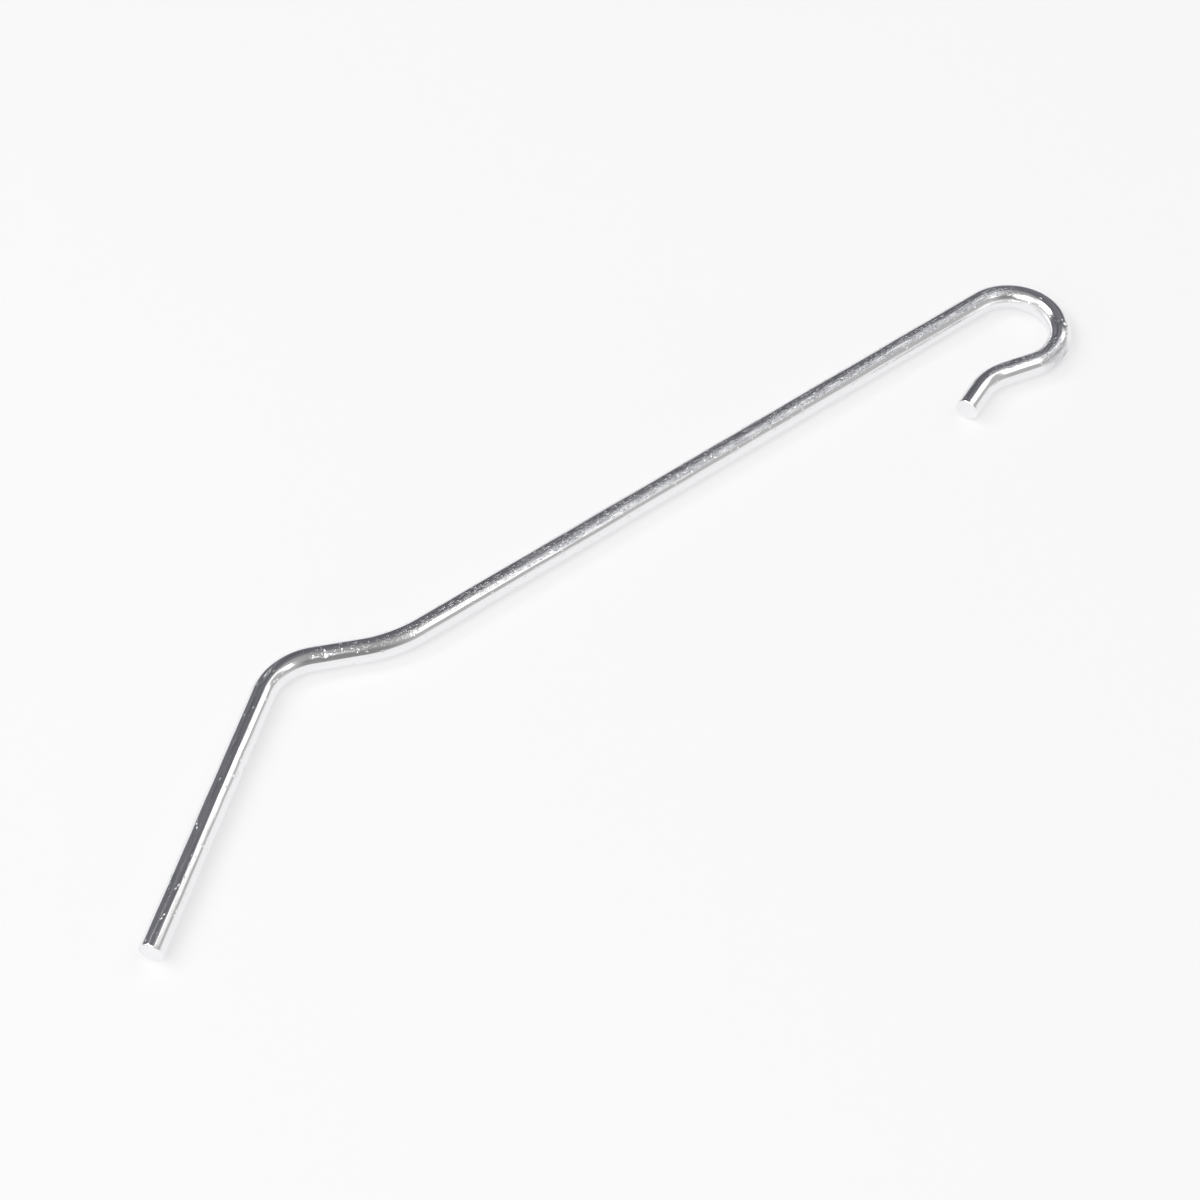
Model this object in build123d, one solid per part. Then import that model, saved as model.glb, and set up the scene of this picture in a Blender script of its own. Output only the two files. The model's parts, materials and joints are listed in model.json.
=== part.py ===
from build123d import *
import os
from math import asin, atan2, degrees, hypot

# Conduction rod of a refrigerator's defrost drain, in millimetres and degrees.
# One length of drawn round aluminium, cut at both ends and bent in one plane. The hook clips over the defrost
# heater's tube, and the leg carries its heat down into the drain. The part lies flat: its centre line is in the
# plane Z = 0, the hook's axis is Z, and the shank runs along X.

# Driving dimensions: rod and cut ends
rod_diameter = 3.2
end_rounding = 0.2  # edge that the shear rolls over at each cut

# Driving dimensions: hook, return run and flared lip
heater_tube_diameter = 9.5
hook_clearance = 0.2  # on the tube's diameter
snap_bite = 1.3  # how much narrower than the tube the hook's mouth is
return_length = 4.4
lip_bend_inside_radius = 5.8
lip_flare = 22  # lip against the shank's line
lip_length = 3.9

# Driving dimensions: shank, offset run and leg
shank_length = 91.7
shank_bend_inside_radius = 15.6
offset_angle = 25.1  # offset run against the shank's line
offset_length = 6.4
leg_bend_inside_radius = 5.9
leg_angle = 37.4  # leg against the shank's line, on the hook's side
leg_length = 37.5

# Bends are made round the inside radius, so the centre line lies half a rod further out
rod_radius = rod_diameter / 2
hook_radius = (heater_tube_diameter + hook_clearance) / 2 + rod_radius
lip_bend_radius = lip_bend_inside_radius + rod_radius
shank_bend_radius = shank_bend_inside_radius + rod_radius
leg_bend_radius = leg_bend_inside_radius + rod_radius

# The hook goes past a half turn until its return run has closed the mouth by its clearance and its bite.
# Turned on by an angle c, it closes by bend_reach * (1 - cos c) + return_length * sin c, solved here for c.
closing = hook_clearance + snap_bite
bend_reach = hook_radius + lip_bend_radius
closing_span = hypot(bend_reach, return_length)
closing_phase = atan2(bend_reach, return_length)
past_half_turn = degrees(closing_phase + asin((closing - bend_reach) / closing_span))
hook_wrap = 180 + past_half_turn


def run_on(previous, length):
    """Straight run that carries on from the end of the previous stretch."""
    return PolarLine(previous @ 1, length, direction=previous % 1)


def bend_on(previous, radius, turn):
    """Bend that carries on from the end of the previous stretch, to the left if the turn is positive."""
    return JernArc(previous @ 1, previous % 1, radius, turn)


# Centre line, in two directions from the top of the hook
with BuildLine() as centre_line:
    hook = CenterArc((0, 0), hook_radius, 90, -hook_wrap)
    return_run = run_on(hook, return_length)
    lip_bend = bend_on(return_run, lip_bend_radius, past_half_turn + lip_flare)
    lip = run_on(lip_bend, lip_length)
    shank = Line((0, hook_radius), (-shank_length, hook_radius))
    shank_bend = bend_on(shank, shank_bend_radius, -offset_angle)
    offset_run = run_on(shank_bend, offset_length)
    leg_bend = bend_on(offset_run, leg_bend_radius, offset_angle + leg_angle)
    leg = run_on(leg_bend, leg_length)

# Round rod along the centre line, from the lip's cut to the leg's
with BuildPart() as rod:
    with BuildSketch(Plane(lip @ 1, z_dir=lip % 1)):
        Circle(rod_radius)
    sweep(path=centre_line.wire())
    cut_faces = rod.faces().filter_by(GeomType.PLANE)
    fillet(cut_faces.edges(), min(end_rounding, rod_radius / 2))

os.makedirs("parts", exist_ok=True)
export_step(rod.part, "parts/conduction_rod.step")
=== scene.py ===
import json
from math import asin, atan2, cos, exp, hypot, pi, radians, sin

import bmesh
import bpy
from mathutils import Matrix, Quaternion, Vector, noise


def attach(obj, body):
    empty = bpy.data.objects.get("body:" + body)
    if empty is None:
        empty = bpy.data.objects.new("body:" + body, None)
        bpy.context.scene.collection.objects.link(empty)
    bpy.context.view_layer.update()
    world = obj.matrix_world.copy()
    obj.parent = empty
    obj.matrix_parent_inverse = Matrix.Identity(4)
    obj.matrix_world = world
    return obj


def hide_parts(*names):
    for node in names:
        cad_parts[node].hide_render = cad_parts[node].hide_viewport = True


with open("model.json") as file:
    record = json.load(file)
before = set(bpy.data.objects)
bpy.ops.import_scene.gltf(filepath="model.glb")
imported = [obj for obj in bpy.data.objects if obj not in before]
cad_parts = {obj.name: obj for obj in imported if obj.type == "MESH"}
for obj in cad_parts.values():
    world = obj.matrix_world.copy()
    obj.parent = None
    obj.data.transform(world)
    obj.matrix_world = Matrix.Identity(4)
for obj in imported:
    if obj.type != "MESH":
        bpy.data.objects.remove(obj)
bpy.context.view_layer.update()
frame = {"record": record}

# Conduction rod
# One length of bright drawn aluminium rod, sheared at both ends and bent cold in one plane. Its hook clips
# over the heater's tube and ends in a flared lip. Beyond the shank are a small offset and the drain leg.

mm = 0.001
mounts = {mount["name"]: mount for mount in frame["record"]["mounts"]}
rod_radius = mounts["drain_leg"]["dims"]["r_mm"] * mm
leg_direction = mounts["drain_leg"]["axis"]

# Bends as the part's source has them, with each radius at the middle of the rod
hook_radius = mounts["heater_hook"]["dims"]["r_mm"] * mm + rod_radius
hook_closing = 1.5 * mm  # how far the mouth is closed, from the hook's clearance and the tube's snap
return_length = 4.4 * mm
lip_bend_radius = 5.8 * mm + rod_radius
lip_flare = radians(22.0)
lip_length = 3.9 * mm
shank_length = 91.7 * mm
shank_bend_radius = 15.6 * mm + rod_radius
offset_angle = radians(25.1)
offset_length = 6.4 * mm
leg_bend_radius = 5.9 * mm + rod_radius
leg_angle = atan2(leg_direction[1], leg_direction[0]) + pi
leg_length = 37.5 * mm

bend_reach = hook_radius + lip_bend_radius
closing_span = hypot(bend_reach, return_length)
hook_overturn = atan2(bend_reach, return_length) + asin((hook_closing - bend_reach) / closing_span)
hook_wrap = pi + hook_overturn
lip_turn = hook_overturn + lip_flare
leg_turn = offset_angle + leg_angle

# Places along the straight stock, each counted from the start of the hook towards its own end of the rod
hook_run = hook_radius * hook_wrap
lip_bend_start = hook_run + return_length
lip_bend_run = lip_bend_radius * lip_turn
lip_cut = lip_bend_start + lip_bend_run + lip_length
shank_bend_run = shank_bend_radius * offset_angle
leg_bend_start = shank_length + shank_bend_run + offset_length
leg_bend_run = leg_bend_radius * leg_turn
leg_cut = leg_bend_start + leg_bend_run + leg_length

# Straight stock as rings from one cut to the other
stock_sides = 80
stock_rings = 1200
cut_rolled_edge = 0.2 * mm
cut_edge_steps = 5
cut_face_rings = (0.0, 0.3, 0.55, 0.75)  # as shares of the cut's flat radius

# Waves that drawing and straightening leave in the surface
wave_length = 4.5 * mm
wave_width = 2.4 * mm
wave_depth = 0.035 * mm

# Dents from bending and handling, in millimetres and degrees: place along the stock, negative towards the
# leg, turn from the top towards the shank's outer side, half length, half width round the rod, and depth
dents = [
    (14.0, -8, 0.32, 0.35, 0.110),
    (14.5, 22, 0.22, 0.25, 0.080),
    (-2.1, -9, 0.20, 0.15, 0.030),
    (-4.9, -21, 0.20, 0.15, 0.030),
    (-6.7, -1, 0.25, 0.15, 0.030),
    (-9.0, -10, 0.15, 0.15, 0.030),
    (-38.8, -4, 0.15, 0.15, 0.040),
    (-99.0, -20, 0.60, 0.20, 0.030),
    (-104.2, -19, 0.20, 0.80, 0.070),
    (-111.9, 14, 1.00, 0.20, 0.240),
    (-121.8, 15, 0.60, 0.30, 0.040),
    (-142.3, 21, 0.70, 0.15, 0.030),
]
dent_reach = 3  # half lengths past which a dent has run out


def cut_end_rings(place, inward):
    """Rings of one cut: out from the middle of its face, then round its rolled edge."""
    flat_radius = rod_radius - cut_rolled_edge
    rings = [(place, flat_radius * part) for part in cut_face_rings]
    for step in range(cut_edge_steps + 1):
        angle = pi / 2 * step / cut_edge_steps
        depth = cut_rolled_edge * (1 - cos(angle))
        rings.append((place + inward * depth, flat_radius + cut_rolled_edge * sin(angle)))
    return rings


def relief(place, turn):
    """How far the worn surface lies outside the plain round at one place on it."""
    across = Vector((0.0, sin(turn), cos(turn))) * rod_radius / wave_width
    height = wave_depth * noise.noise(Vector((place / wave_length, 0.0, 0.0)) + across)
    for middle, middle_turn, half_length, half_width, depth in dents:
        along = (place / mm - middle) / half_length
        if abs(along) < dent_reach:
            aside = (turn - radians(middle_turn) + pi) % (2 * pi) - pi
            around = aside * rod_radius / mm / half_width
            height -= depth * mm * exp(-along * along - around * around)
    return height


def stock_mesh(name):
    """Closed mesh of the straight stock, along X."""
    rings = cut_end_rings(-leg_cut, 1)
    first = rings[-1][0]
    last = lip_cut - cut_rolled_edge
    for step in range(1, stock_rings):
        rings.append((first + (last - first) * step / stock_rings, rod_radius))
    rings += reversed(cut_end_rings(lip_cut, -1))
    stock = bmesh.new()
    loops = []
    for place, radius in rings:
        count = stock_sides if radius else 1
        loop = []
        for side in range(count):
            turn = 2 * pi * side / stock_sides
            reach = radius * (1 + relief(place, turn) / rod_radius)
            loop.append(stock.verts.new((place, reach * sin(turn), reach * cos(turn))))
        loops.append(loop)
    for near, far in zip(loops, loops[1:]):
        for side in range(stock_sides):
            after = (side + 1) % stock_sides
            if len(near) == 1:
                stock.faces.new((near[0], far[side], far[after]))
            elif len(far) == 1:
                stock.faces.new((near[side], far[0], near[after]))
            else:
                stock.faces.new((near[side], far[side], far[after], near[after]))
    bmesh.ops.recalc_face_normals(stock, faces=stock.faces)
    mesh = bpy.data.meshes.new(name)
    stock.to_mesh(mesh)
    stock.free()
    return mesh


class Wire:
    """One output socket. Sums of wires and numbers add Math nodes, and add() adds any other node."""

    def __init__(self, tree, socket=None):
        self.tree = tree
        self.socket = socket

    def add(self, kind, settings=None, inputs=None, out=0):
        """Adds a node with its settings and its inputs' values or wires, and gives one of its outputs."""
        node = self.tree.nodes.new(kind)
        for name, value in (settings or {}).items():
            setattr(node, name, value)
        for name, value in (inputs or {}).items():
            if isinstance(value, Wire):
                self.tree.links.new(value.socket, node.inputs[name])
            else:
                node.inputs[name].default_value = value
        return Wire(self.tree, node.outputs[out] if node.outputs else None)

    def math(self, operation, *values):
        return self.add("ShaderNodeMath", {"operation": operation}, dict(enumerate((self,) + values)))

    def smooth(self, low, high):
        """0 below low, 1 above high, and a soft step between."""
        inputs = {"Value": self, "From Min": low, "From Max": high}
        return self.add("ShaderNodeMapRange", {"interpolation_type": "SMOOTHSTEP"}, inputs)

    def colour(self, at_zero, at_one):
        """Mix of two colours by this wire. A Mix node has colours at its inputs 6 and 7 and its output 2."""
        return self.add("ShaderNodeMix", {"data_type": "RGBA"}, {0: self, 6: at_zero, 7: at_one}, 2)

    def __add__(self, other):
        return self.math("ADD", other)

    def __sub__(self, other):
        return self.math("SUBTRACT", other)

    def __mul__(self, other):
        return self.math("MULTIPLY", other)

    def __truediv__(self, other):
        return self.math("DIVIDE", other)

    def __radd__(self, other):
        return self.math("ADD", other)

    def __rmul__(self, other):
        return self.math("MULTIPLY", other)

    def __rsub__(self, other):
        return self.add("ShaderNodeMath", {"operation": "SUBTRACT"}, {0: other, 1: self})

    def __rtruediv__(self, other):
        return self.add("ShaderNodeMath", {"operation": "DIVIDE"}, {0: other, 1: self})


def drawn_aluminium():
    """Bright drawn aluminium with fine die lines, soft haze, a scuffed stripe along the shank and pits."""
    bright_colour = (0.91, 0.91, 0.92, 1.0)
    scuffed_colour = (0.52, 0.525, 0.56, 1.0)
    stripe_turn = radians(-9.0)  # the stripe faces up and a little to the hook's side

    material = bpy.data.materials.new("drawn_aluminium")
    material.use_nodes = True
    tree = material.node_tree
    tree.nodes.clear()
    here = Wire(tree)
    stock = here.add("ShaderNodeAttribute", {"attribute_name": "stock"}, out="Vector")
    axes = [here.add("ShaderNodeSeparateXYZ", {}, {"Vector": stock}, axis) for axis in "XYZ"]
    along, outward, upward = axes

    def stretched(length, width):
        """Place on the stock, counted in steps of a length along the rod and a width across it."""
        scale = (1 / (length * mm), 1 / (width * mm), 1 / (width * mm))
        return here.add("ShaderNodeMapping", {}, {"Vector": stock, "Scale": scale})

    def grain(length, width, detail):
        """Noise with grains of a length along the rod and a width across it, in millimetres."""
        inputs = {"Vector": stretched(length, width), "Scale": 1.0, "Detail": detail}
        return here.add("ShaderNodeTexNoise", {}, inputs, "Fac")

    def on_stretch(start, full, fade, end):
        """1 on one stretch of the stock, with soft ends, in millimetres along it."""
        return along.smooth(start * mm, full * mm) * (1.0 - along.smooth(fade * mm, end * mm))

    die_lines = grain(30.0, 0.36, 4.0)
    haze = grain(5.0, 2.0, 3.0)
    patches = grain(2.0, 0.6, 3.0).smooth(0.40, 0.62)

    # Scuffs: a stripe on the top of the shank and of the return run, and the whole round where the hook ends
    facing = (outward * sin(stripe_turn) + upward * cos(stripe_turn)) / rod_radius
    top_side = facing.smooth(0.86, 0.96)
    on_shank = on_stretch(-96.0, -66.0, 0.0, 8.0)
    on_return = on_stretch(16.5, 18.5, 25.0, 30.0)
    on_hook_end = on_stretch(16.0, 18.0, 19.0, 22.0)
    stripe = top_side * (on_shank + on_return)
    scuffs = stripe.math("MAXIMUM", 0.8 * on_hook_end) * (0.55 + 0.45 * patches)

    # Flecks and scratches lie in the scuffs, and more thinly on the shank's bend and the offset run
    on_shank_bend = on_stretch(-99.0, -93.0, -84.0, -74.0)
    on_offset = on_stretch(-109.0, -105.0, -98.0, -95.0)
    worn = scuffs + top_side * (0.5 * on_shank_bend + 0.3 * on_offset)
    flecks = grain(0.55, 0.30, 2.0).smooth(0.55, 0.63) * worn
    scratches = grain(2.2, 0.16, 2.0).smooth(0.54, 0.64) * worn

    # Pits are some of the cells of a pattern, and more of them where the rod is scuffed
    cells = {"Vector": stretched(0.60, 0.26), "Scale": 1.0}
    cell_reach = here.add("ShaderNodeTexVoronoi", {}, cells, "Distance")
    cell_colour = here.add("ShaderNodeTexVoronoi", {}, cells, "Color")
    cell_pick = here.add("ShaderNodeSeparateXYZ", {}, {"Vector": cell_colour}, "X")
    pits = (1.0 - cell_reach.smooth(0.10, 0.45)) * (cell_pick + 0.45 * scuffs).smooth(0.90, 0.94)

    # A fleck is fresh metal, so it is as bright as the rod beside the scuffs. Heights are in millimetres.
    dull = scuffs * (1.0 - flecks)
    roughness = 0.11 + 0.08 * haze + 0.08 * haze * on_shank + 0.16 * dull
    height = 0.026 * die_lines - 0.034 * pits - 0.036 * flecks - 0.014 * scratches
    bump = here.add("ShaderNodeBump", {}, {"Height": height, "Strength": 1.0, "Distance": mm})
    shader_inputs = {
        "Base Color": dull.colour(bright_colour, scuffed_colour),
        "Metallic": 1.0,
        "Roughness": roughness,
        "Normal": bump,
    }
    shader = here.add("ShaderNodeBsdfPrincipled", {}, shader_inputs)
    here.add("ShaderNodeOutputMaterial", {}, {"Surface": shader})
    return material


# The tree takes the straight stock to the bent rod
rod_tree = bpy.data.node_groups.new("bent_rod", "GeometryNodeTree")
rod_tree.interface.new_socket("Geometry", in_out="OUTPUT", socket_type="NodeSocketGeometry")
rod_tree.interface.new_socket("Geometry", in_out="INPUT", socket_type="NodeSocketGeometry")
rod_sizes = {
    "Shank height": hook_radius,
    "Lip bend start": lip_bend_start,
    "Lip bend run": lip_bend_run,
    "Lip bend turn": lip_turn,
    "Hook start": 0.0,
    "Hook run": hook_run,
    "Hook turn": -hook_wrap,
    "Leg bend start": -leg_bend_start,
    "Leg bend run": -leg_bend_run,
    "Leg bend turn": leg_turn,
    "Shank bend start": -shank_length,
    "Shank bend run": -shank_bend_run,
    "Shank bend turn": -offset_angle,
}
rod_sockets = {}
for size_name in rod_sizes:
    socket = rod_tree.interface.new_socket(size_name, in_out="INPUT", socket_type="NodeSocketFloat")
    rod_sockets[size_name] = socket.identifier
rod_input = rod_tree.nodes.new("NodeGroupInput")
rod_output = rod_tree.nodes.new("NodeGroupOutput")
bench = Wire(rod_tree)


def rod_size(name):
    return Wire(rod_tree, rod_input.outputs[name])


def bend_rod(rod, name):
    """Bends what lies past the start of one bend, and carries on what lies past its end."""
    start = rod_size(name + " start")
    run = rod_size(name + " run")
    turn = rod_size(name + " turn")
    stock = bench.add("GeometryNodeInputNamedAttribute", {"data_type": "FLOAT_VECTOR"}, {"Name": "stock"})
    along = bench.add("ShaderNodeSeparateXYZ", {}, {"Vector": stock}, "X")
    share = ((along - start) / run).math("MAXIMUM", 0.0).math("MINIMUM", 1.0)
    angle = share * turn
    reach = run / turn
    pivot = bench.add("ShaderNodeCombineXYZ", {}, {"X": start + share * run})
    moved_x = start + reach * angle.math("SINE")
    moved_y = reach * (1.0 - angle.math("COSINE"))
    moved = bench.add("ShaderNodeCombineXYZ", {}, {"X": moved_x, "Y": moved_y})
    place = bench.add("GeometryNodeInputPosition")
    turning = {"Vector": place, "Center": pivot, "Angle": angle}
    turned = bench.add("ShaderNodeVectorRotate", {"rotation_type": "Z_AXIS"}, turning)
    shift = bench.add("ShaderNodeVectorMath", {"operation": "SUBTRACT"}, {0: moved, 1: pivot})
    bent = bench.add("ShaderNodeVectorMath", {"operation": "ADD"}, {0: turned, 1: shift})
    return bench.add("GeometryNodeSetPosition", {}, {"Geometry": rod, "Position": bent})


rod_finish = drawn_aluminium()
rod = Wire(rod_tree, rod_input.outputs["Geometry"])
stock_place = bench.add("GeometryNodeInputPosition")
rod = bench.add(
    "GeometryNodeStoreNamedAttribute",
    {"data_type": "FLOAT_VECTOR", "domain": "POINT"},
    {"Geometry": rod, "Name": "stock", "Value": stock_place},
)
for bend_name in ("Lip bend", "Hook", "Leg bend", "Shank bend"):
    rod = bend_rod(rod, bend_name)
lift = bench.add("ShaderNodeCombineXYZ", {}, {"Y": rod_size("Shank height")})
rod = bench.add("GeometryNodeSetPosition", {}, {"Geometry": rod, "Offset": lift})
rod = bench.add("GeometryNodeSetShadeSmooth", {}, {"Geometry": rod})
rod = bench.add("GeometryNodeRealizeInstances", {}, {"Geometry": rod})
rod = bench.add("GeometryNodeSetMaterial", {}, {"Geometry": rod, "Material": rod_finish})
rod_tree.links.new(rod.socket, rod_output.inputs["Geometry"])

blank = bpy.data.objects.new("rod_blank", stock_mesh("rod_blank"))
bpy.context.collection.objects.link(blank)
bending = blank.modifiers.new("bending", "NODES")
bending.node_group = rod_tree
for size_name, size in rod_sizes.items():
    bending[rod_sockets[size_name]] = size
depsgraph = bpy.context.evaluated_depsgraph_get()
bent_mesh = bpy.data.meshes.new_from_object(blank.evaluated_get(depsgraph), depsgraph=depsgraph)
bent_mesh.name = "bent_rod"
bpy.data.objects.remove(blank)
bent_rod = bpy.data.objects.new("bent_rod", bent_mesh)
bpy.context.collection.objects.link(bent_rod)
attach(bent_rod, "root")
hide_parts("conduction_rod")

# Table
# The matte white table top that the rod lies on. It is lit as the rod is, and holds the rod's soft shadow.
# Where it is seen or mirrored, a share of it is plain white, so the ground is white and its shadow faint.

table_height = -rod_radius
table_half_width = 6.0
table_colour = (0.94, 0.94, 0.955, 1.0)
table_roughness = 0.6
table_whiteness = 0.52


def white_table():
    material = bpy.data.materials.new("white_table")
    material.use_nodes = True
    tree = material.node_tree
    tree.nodes.clear()
    here = Wire(tree)
    finish = {"Base Color": table_colour, "Roughness": table_roughness}
    top = here.add("ShaderNodeBsdfPrincipled", {}, finish)
    plain_white = here.add("ShaderNodeEmission", {}, {"Color": (1.0, 1.0, 1.0, 1.0), "Strength": 1.0})
    seen = here.add("ShaderNodeLightPath", out="Is Camera Ray")
    mirrored = here.add("ShaderNodeLightPath", out="Is Glossy Ray")
    through = here.add("ShaderNodeLightPath", out="Is Transmission Ray")
    share = (seen + mirrored + through) * table_whiteness
    surface = here.add("ShaderNodeMixShader", {}, {"Fac": share, 1: top, 2: plain_white})
    here.add("ShaderNodeOutputMaterial", {}, {"Surface": surface})
    return material


table_mesh = bpy.data.meshes.new("table")
table_sides = [(-1, -1), (1, -1), (1, 1), (-1, 1)]
table_corners = [(x * table_half_width, y * table_half_width, table_height) for x, y in table_sides]
table_mesh.from_pydata(table_corners, [], [(0, 1, 2, 3)])
table_mesh.materials.append(white_table())
table = bpy.data.objects.new("table", table_mesh)
bpy.context.collection.objects.link(table)

# Camera
# It looks down on the rod at the angle of the photograph, with the shank rising to the right. Its focal
# length is counted in the picture's pixels.

picture_size = 1200
camera_focal_pixels = 2862
camera_sensor_width = 36.0
camera_heading = radians(36.97)  # from +Y towards +X
camera_elevation = radians(52.538)
camera_distance = 355.55 * mm
camera_aim = Vector((-71.22 * mm, -3.09 * mm, 0.0))

camera_away = Vector((sin(camera_heading), cos(camera_heading), 0.0))
camera_right = Vector((cos(camera_heading), -sin(camera_heading), 0.0))
camera_look = camera_away * cos(camera_elevation) - Vector((0.0, 0.0, sin(camera_elevation)))
camera_data = bpy.data.cameras.new("camera")
camera_data.sensor_width = camera_sensor_width
camera_data.lens = camera_sensor_width * camera_focal_pixels / picture_size
camera_data.clip_start = 0.01
camera = bpy.data.objects.new("camera", camera_data)
camera.location = camera_aim - camera_look * camera_distance
camera.rotation_euler = camera_look.to_track_quat("-Z", "Y").to_euler()
bpy.context.collection.objects.link(camera)
bpy.context.scene.camera = camera

# Light
# Three soft boxes stand at the right of the picture and three at its left, in a grey room. The room is dark
# at the back and in front, paler at both sides and nearly white at the foot of its walls.

box_distance = 1.5

# Each box: azimuth and elevation from the rod, lean, width, height and radiance
soft_boxes = {
    "right_back_box": (40.5, 45.0, -45.0, 0.53, 0.83, 1.2),
    "right_front_box": (-19.0, 55.5, -45.0, 0.32, 0.68, 1.2),
    "right_top_box": (11.0, 64.5, 0.0, 0.75, 0.22, 1.2),
    "left_front_box": (-122.0, 54.0, 0.0, 0.94, 0.97, 2.9),
    "left_middle_box": (-168.0, 55.0, 0.0, 0.50, 0.45, 0.75),
    "left_back_box": (157.5, 49.5, 40.0, 0.50, 0.92, 3.8),
}

# Each side of the room: azimuth and elevation of its middle, angles at which it ends and is whole, and shade
room_shade = 0.36
room_sides = {
    "front": (-76.0, 44.0, 34.0, 14.0, 0.24),
    "right": (-2.0, 38.0, 46.0, 28.0, 0.46),
    "left": (-160.0, 34.0, 50.0, 32.0, 0.62),
}
wall_foot_top = radians(8.0)
wall_foot_fade = radians(20.0)
wall_foot_shade = 0.95
back_side = (100.0, 25.0, 56.0, 36.0)
back_shade = 0.15
back_contrast = 3.0  # how uneven the back's shade is
room_tint = (1.0, 1.0, 0.99, 1.0)
back_tint = (0.95, 0.955, 1.05, 1.0)


def seen_from_rod(azimuth, elevation):
    """Direction from the rod, with the azimuth from the picture's right towards the back."""
    flat = camera_right * cos(radians(azimuth)) + camera_away * sin(radians(azimuth))
    return flat * cos(radians(elevation)) + Vector((0.0, 0.0, sin(radians(elevation))))


def soft_box(name, azimuth, elevation, lean, width, height, radiance):
    """A lamp that faces the rod, with its top turned by the lean to the right as seen from the rod."""
    toward = seen_from_rod(azimuth, elevation)
    lamp = bpy.data.lights.new(name, "AREA")
    lamp.shape = "RECTANGLE"
    lamp.size = width
    lamp.size_y = height
    lamp.energy = radiance * pi * width * height
    box = bpy.data.objects.new(name, lamp)
    box.location = camera_aim + toward * box_distance
    upright = (-toward).to_track_quat("-Z", "Y")
    box.rotation_euler = (upright @ Quaternion((0.0, 0.0, 1.0), radians(lean))).to_euler()
    box.visible_camera = False
    bpy.context.collection.objects.link(box)


for box_name, box_values in soft_boxes.items():
    soft_box(box_name, *box_values)

room = bpy.data.worlds.new("grey_room")
bpy.context.scene.world = room
room.use_nodes = True
room.node_tree.nodes.clear()
walls = Wire(room.node_tree)
direction = walls.add("ShaderNodeTexCoord", out="Generated")


def room_side(azimuth, elevation, outer, inner):
    """1 round one direction, and 0 outside an angle from it."""
    inputs = {0: direction, 1: seen_from_rod(azimuth, elevation)}
    facing = walls.add("ShaderNodeVectorMath", {"operation": "DOT_PRODUCT"}, inputs, "Value")
    return facing.smooth(cos(radians(outer)), cos(radians(inner)))


shade = room_shade
for *side_place, side_shade in room_sides.values():
    shade = shade + room_side(*side_place) * (side_shade - shade)
rise = walls.add("ShaderNodeSeparateXYZ", {}, {"Vector": direction}, "Z")
wall_foot = 1.0 - rise.smooth(sin(wall_foot_top), sin(wall_foot_fade))
shade = shade + wall_foot * (wall_foot_shade - shade)
back = room_side(*back_side)
clutter = walls.add("ShaderNodeTexNoise", {}, {"Vector": direction, "Scale": 5.0, "Detail": 3.0}, "Fac")
back_level = back_shade * (1.0 + back_contrast * (clutter - 0.5))
shade = shade + back * (back_level - shade)
tint = back.colour(room_tint, back_tint)
glow = walls.add("ShaderNodeBackground", {}, {"Color": tint, "Strength": shade})
walls.add("ShaderNodeOutputWorld", {}, {"Surface": glow})

bpy.context.scene.view_settings.view_transform = "Standard"
